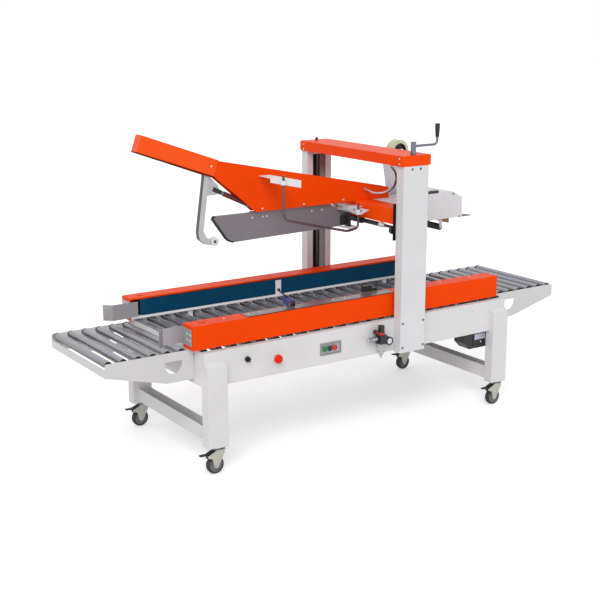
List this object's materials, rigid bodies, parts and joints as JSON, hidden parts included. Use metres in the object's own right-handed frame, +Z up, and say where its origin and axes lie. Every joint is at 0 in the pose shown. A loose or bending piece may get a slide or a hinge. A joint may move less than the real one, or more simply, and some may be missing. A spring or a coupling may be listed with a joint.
{
  "type": "carton sealer",
  "caption": "Carton sealer with a roller bed on casters, side drive belts, roller tables at both ends and a crank-raised head that folds the flaps and tapes the top seam.",
  "frame": {"origin": "on the floor under the middle of the machine's bounding box", "axes": "+X the way cartons travel, +Y away from the operator's side, +Z up"},
  "size_m": [2.62, 0.836, 1.4755],
  "materials": {
    "paint_white": "off-white textured powder coat",
    "paint_orange": "orange powder coat",
    "zinc": "zinc plated",
    "fork_zinc": "zinc plated",
    "chrome": "polished",
    "black_paint": "black enamel",
    "black_plastic": "moulded",
    "belt": "matt fabric-faced",
    "blade": "grey coated",
    "kicker": "satin",
    "white_plastic": "turned",
    "barrel": "black anodised",
    "black_rubber": "ground",
    "tape": "satin",
    "conduit": "ribbed",
    "green_plastic": "moulded",
    "red_plastic": "moulded",
    "regulator_metal": "black die-cast",
    "clear_plastic": "clear",
    "wheel": "moulded"
  },
  "bodies": {
    "frame": {"main_frame": "paint_white", "leg_frames": "paint_white", "end_tables": "paint_white", "conveyor_rollers": "zinc", "guide_shafts": "chrome", "near_column": "paint_white", "far_column": "paint_white", "top_beam": "paint_orange", "lift_chain": "zinc", "control_station": "zinc", "air_regulator": "regulator_metal", "regulator_bowl": "clear_plastic", "flex_conduit": "conduit"},
    "near_unit": {"near_carrier": "paint_white", "near_cover": "paint_orange", "near_belt": "belt", "near_motor": "black_paint", "carton_sensors": "zinc"},
    "far_unit": {"far_carrier": "paint_white", "far_cover": "paint_orange", "far_belt": "belt", "far_motor": "black_paint"},
    "crank": {"near_screw": "chrome", "crank_arm": "chrome"},
    "head": {"cross_carriage": "paint_orange", "head_plates": "paint_orange", "nose_channel": "paint_orange", "flap_plate": "blade", "guide_rods": "chrome", "rod_brackets": "paint_white", "tape_case": "paint_white", "tape_mast": "zinc"},
    "near_drive": {"near_drive": "zinc"},
    "near_idler": {"near_idler": "zinc"},
    "far_drive": {"far_drive": "zinc"},
    "far_idler": {"far_idler": "zinc"},
    "switch_lever": {"switch_lever": "black_plastic"},
    "far_screw": {"far_screw": "chrome"},
    "crank_grip": {"crank_grip": "black_plastic"},
    "kicker_arm": {"kicker_arm": "kicker"},
    "kicker_roller": {"kicker_roller": "white_plastic"},
    "kicker_cylinder": {"kicker_cylinder": "barrel"},
    "kicker_rod": {"kicker_rod": "chrome"},
    "wipe_arm": {"wipe_arm": "zinc"},
    "wipe_roller": {"wipe_roller": "black_rubber"},
    "tape_roll": {"tape_roll": "tape"},
    "green_button": {"green_button": "green_plastic"},
    "black_button": {"black_button": "black_plastic"},
    "red_button": {"red_button": "red_plastic"},
    "estop_button": {"estop_button": "red_plastic"},
    "selector_knob": {"selector_knob": "black_plastic"},
    "regulator_knob": {"regulator_knob": "black_plastic"},
    "fork_near_in": {"fork_near_in": "fork_zinc"},
    "wheel_near_in": {"wheel_near_in": "wheel"},
    "fork_near_out": {"fork_near_out": "fork_zinc"},
    "wheel_near_out": {"wheel_near_out": "wheel"},
    "fork_far_in": {"fork_far_in": "fork_zinc"},
    "wheel_far_in": {"wheel_far_in": "wheel"},
    "fork_far_out": {"fork_far_out": "fork_zinc"},
    "wheel_far_out": {"wheel_far_out": "wheel"}
  },
  "joints": [
    {"name": "swivel_near_in", "type": "hinge", "parent": "frame", "child": "fork_near_in", "pos_m": [-0.816, -0.368, 0.11], "axis": [0, 0, 1], "continuous": true},
    {"name": "roll_near_in", "type": "hinge", "parent": "fork_near_in", "child": "wheel_near_in", "pos_m": [-0.842, -0.368, 0.041], "axis": [0, 1, 0], "continuous": true},
    {"name": "swivel_near_out", "type": "hinge", "parent": "frame", "child": "fork_near_out", "pos_m": [0.848, -0.368, 0.11], "axis": [0, 0, 1], "continuous": true},
    {"name": "roll_near_out", "type": "hinge", "parent": "fork_near_out", "child": "wheel_near_out", "pos_m": [0.822, -0.368, 0.041], "axis": [0, 1, 0], "continuous": true},
    {"name": "swivel_far_in", "type": "hinge", "parent": "frame", "child": "fork_far_in", "pos_m": [-0.816, 0.368, 0.11], "axis": [0, 0, 1], "continuous": true},
    {"name": "roll_far_in", "type": "hinge", "parent": "fork_far_in", "child": "wheel_far_in", "pos_m": [-0.842, 0.368, 0.041], "axis": [0, 1, 0], "continuous": true},
    {"name": "swivel_far_out", "type": "hinge", "parent": "frame", "child": "fork_far_out", "pos_m": [0.848, 0.368, 0.11], "axis": [0, 0, 1], "continuous": true},
    {"name": "roll_far_out", "type": "hinge", "parent": "fork_far_out", "child": "wheel_far_out", "pos_m": [0.822, 0.368, 0.041], "axis": [0, 1, 0], "continuous": true},
    {"name": "near_slide", "type": "slide", "parent": "frame", "child": "near_unit", "axis": [0, 1, 0], "range_m": [0, 0.175]},
    {"name": "far_slide", "type": "slide", "parent": "frame", "child": "far_unit", "axis": [0, -1, 0], "range_m": [0, 0.175]},
    {"name": "near_drive_spin", "type": "hinge", "parent": "near_unit", "child": "near_drive", "pos_m": [0.755, -0.29, 0.62], "axis": [0, 0, 1], "continuous": true},
    {"name": "near_idler_spin", "type": "hinge", "parent": "near_unit", "child": "near_idler", "pos_m": [-0.847, -0.29, 0.62], "axis": [0, 0, 1], "continuous": true},
    {"name": "far_drive_spin", "type": "hinge", "parent": "far_unit", "child": "far_drive", "pos_m": [0.755, 0.29, 0.62], "axis": [0, 0, 1], "continuous": true},
    {"name": "far_idler_spin", "type": "hinge", "parent": "far_unit", "child": "far_idler", "pos_m": [-0.847, 0.29, 0.62], "axis": [0, 0, 1], "continuous": true},
    {"name": "switch_press", "type": "hinge", "parent": "near_unit", "child": "switch_lever", "pos_m": [-0.398, -0.2746, 0.7237], "axis": [0, 0.2419, -0.9703], "range_deg": [0, 35], "stiffness_Nm_per_rad": 0.3, "springref_deg": -5.73},
    {"name": "crank_turn", "type": "hinge", "parent": "frame", "child": "crank", "pos_m": [0.233, -0.391, 1], "axis": [0, 0, 1], "range_deg": [-7922, 3602]},
    {"name": "grip_spin", "type": "hinge", "parent": "crank", "child": "crank_grip", "pos_m": [0.376, -0.391, 1.44], "axis": [0, 0, 1], "continuous": true},
    {"name": "far_screw_turn", "type": "hinge", "parent": "frame", "child": "far_screw", "pos_m": [0.233, 0.391, 1], "axis": [0, 0, 1], "range_deg": [-7922, 3602]},
    {"name": "head_lift", "type": "slide", "parent": "frame", "child": "head", "axis": [0, 0, 1], "range_m": [-0.22, 0.1], "deforming": ["flex_conduit"]},
    {"name": "kicker_swing", "type": "hinge", "parent": "head", "child": "kicker_arm", "pos_m": [-0.64891, 0, 1.28926], "axis": [0, 1, 0], "range_deg": [0, 65]},
    {"name": "kicker_cylinder_tilt", "type": "hinge", "parent": "head", "child": "kicker_cylinder", "pos_m": [-0.425, 0, 1.112], "axis": [0, 1, 0], "range_deg": [-7.6, 0.1]},
    {"name": "kicker_stroke", "type": "slide", "parent": "kicker_cylinder", "child": "kicker_rod", "axis": [-0.9081, 0, 0.4187], "range_m": [-0.0005, 0.1055]},
    {"name": "kicker_roller_spin", "type": "hinge", "parent": "kicker_arm", "child": "kicker_roller", "pos_m": [-0.61691, 0, 0.96], "axis": [0, 1, 0], "continuous": true},
    {"name": "wipe_press", "type": "hinge", "parent": "head", "child": "wipe_arm", "pos_m": [0.541, 0, 1.008], "axis": [0, -1, 0], "range_deg": [0, 22], "stiffness_Nm_per_rad": 12, "springref_deg": -11.46},
    {"name": "wipe_roller_spin", "type": "hinge", "parent": "wipe_arm", "child": "wipe_roller", "pos_m": [0.712, 0, 0.897], "axis": [0, 1, 0], "continuous": true},
    {"name": "tape_unwind", "type": "hinge", "parent": "head", "child": "tape_roll", "pos_m": [0.453, 0, 1.306], "axis": [0, 1, 0], "continuous": true},
    {"name": "green_push", "type": "slide", "parent": "frame", "child": "green_button", "axis": [0, 1, 0], "range_m": [0, 0.004], "stiffness_N_per_m": 500, "springref_m": -0.001},
    {"name": "black_push", "type": "slide", "parent": "frame", "child": "black_button", "axis": [0, 1, 0], "range_m": [0, 0.004], "stiffness_N_per_m": 500, "springref_m": -0.001},
    {"name": "red_push", "type": "slide", "parent": "frame", "child": "red_button", "axis": [0, 1, 0], "range_m": [0, 0.004], "stiffness_N_per_m": 500, "springref_m": -0.001},
    {"name": "estop_push", "type": "slide", "parent": "frame", "child": "estop_button", "axis": [0, 1, 0], "range_m": [0, 0.005], "stiffness_N_per_m": 800, "springref_m": -0.001},
    {"name": "selector_turn", "type": "hinge", "parent": "frame", "child": "selector_knob", "pos_m": [-0.667, -0.366, 0.496], "axis": [0, 1, 0], "range_deg": [-45, 45]},
    {"name": "regulator_turn", "type": "hinge", "parent": "frame", "child": "regulator_knob", "pos_m": [0.062, -0.392, 0.52], "axis": [0, 0, 1], "range_deg": [-720, 720]}
  ],
  "couplings": [
    {"joint": "far_slide", "follows": "near_slide", "ratio": 1},
    {"joint": "near_idler_spin", "follows": "near_drive_spin", "ratio": 1},
    {"joint": "far_idler_spin", "follows": "far_drive_spin", "ratio": 1},
    {"joint": "far_screw_turn", "follows": "head_lift", "rad_per_m": 628.32},
    {"joint": "crank_turn", "follows": "head_lift", "rad_per_m": 628.32},
    {"joint": "kicker_cylinder_tilt", "follows": "kicker_swing", "ratio": -0.115},
    {"joint": "kicker_stroke", "follows": "kicker_swing", "m_per_rad": 0.0925}
  ]
}
